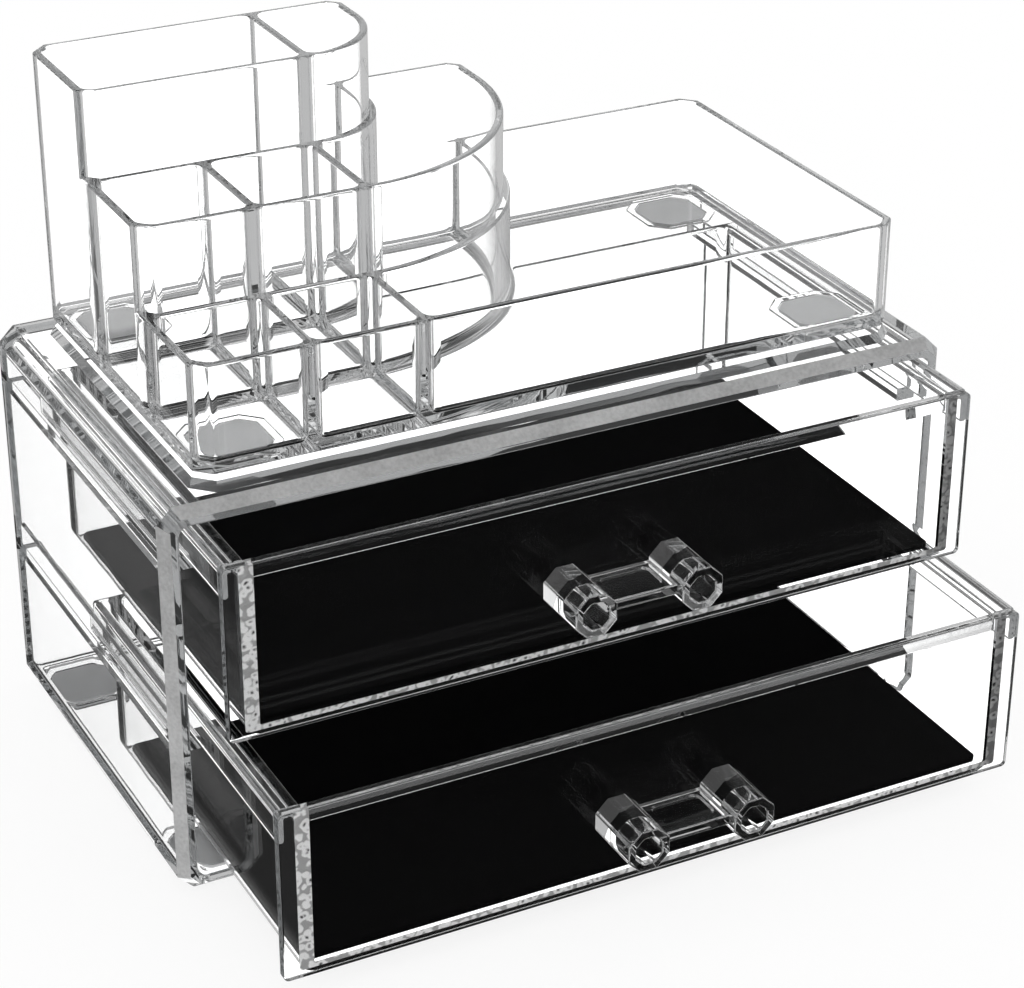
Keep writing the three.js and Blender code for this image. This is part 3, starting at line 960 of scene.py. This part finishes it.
def tier(row, top):
    """The outside of a tier: straight at the left and back, round at its right front, rounded at its rim."""
    front = tray_back - row
    radius = round_y - front
    right = round_x + radius
    outline = np.array([
        *plain([
            (tray_left, tray_back - tray_cut), (tray_left, front + tray_cut), (tray_left + tray_cut, front),
        ], tray_round),
        *round_end(radius, -math.pi / 2),
        *plain([
            (right, tray_back - round_back_cut), (right - round_back_cut, tray_back),
            (tray_left + tray_cut, tray_back),
        ], tray_round),
    ])
    return ring_body(
        outline[:, :2], outline[:, 2], soft_profile(tray_base + tray_floor / 2, top, 0, rim_round))


def room(outline, top):
    """Cuts a room: rounded corners, a fillet round its floor and a lip that opens at its rim."""
    outline = np.array(outline)
    inside = ring_body(
        outline[:, :2], outline[:, 2],
        soft_profile(tray_base + tray_floor, top + hair, room_fillet, -rim_round))
    return ("DIFFERENCE", inside)


def pot(x_low, x_high, y_low, y_high, top):
    """Cuts a straight-sided room. At the tray's left wall its front corner follows the tray's cut corner."""
    first = [(x_low, y_low)]
    if x_low == left:
        first = [(x_low, y_low + inner_cut), (x_low + inner_cut, y_low)]
    return room(plain([*first, (x_high, y_low), (x_high, y_high), (x_low, y_high)], room_round), top)


left, right = tray_left + tray_wall, tray_right - tray_wall
front, back = tray_front + tray_wall, tray_back - tray_wall
columns = [(left, first_divider), (first_divider + tray_wall, second_divider)]
round_start = second_divider + tray_wall
low_end = tray_back - middle_row - ledge
middle_start = tray_back - middle_row + tray_wall
middle_end = tray_back - tall_row - ledge
tall_start = tray_back - tall_row + tray_wall
big_radius = round_y - (tray_back - middle_row)
back_cut = round_back_cut - tray_wall * cut_share

open_part = [
    *plain([
        (round_start, front), (right - inner_cut, front), (right, front + inner_cut),
        (right, back - inner_cut), (right - inner_cut, back), (round_x + big_radius + ledge, back),
    ], room_round),
    *round_end_from(round_start, big_radius + ledge)[::-1],
]
round_room = [
    *round_end_from(round_start, big_radius - tray_wall),
    *plain([
        (round_x + big_radius - tray_wall, back - back_cut),
        (round_x + big_radius - tray_wall - back_cut, back), (round_x + round_radius + ledge, back),
    ], room_round),
    *round_end_from(round_start, round_radius + ledge)[::-1],
]
small_room = [
    *round_end_from(round_start, round_radius - tray_wall),
    *plain([
        (round_x + round_radius - tray_wall, back - back_cut),
        (round_x + round_radius - tray_wall - back_cut, back), (round_start, back),
    ], room_round),
]
tall_room = plain([
    (left, tall_start), (second_divider, tall_start), (second_divider, back), (left + inner_cut, back),
    (left, back - inner_cut)], room_round)
low_outside = ring_body(
    box_outline(tray_left, tray_right, tray_front, tray_back, tray_cut, tray_cut), tray_round,
    soft_profile(tray_base, low_top, tray_base_edge, rim_round))
tray_steps = [("UNION", tier(middle_row, middle_top)), ("UNION", tier(tall_row, tall_top))]
for x_low, x_high in columns:
    tray_steps.append(pot(x_low, x_high, front, low_end, low_top))
    tray_steps.append(pot(x_low, x_high, middle_start, middle_end, middle_top))
tray_steps += [
    room(open_part, low_top), room(round_room, middle_top),
    room(small_room, tall_top), room(tall_room, tall_top),
]
for foot in foot_names:
    tray_steps += foot_steps("tray_pad_" + foot, tray_low.z, foot_height + tray_foot_edge, tray_foot_edge)
tray = carve("tray_moulding", low_outside, tray_steps)
smooth_arcs(tray)
tray.data.materials.append(clear)
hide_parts("stepped_tray")
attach(tray, "tray")


# The same grey pads are pressed into the bosses under the tray.
for foot in foot_names:
    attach(soft_pad("tray_pad_" + foot, pad_finish), "tray")
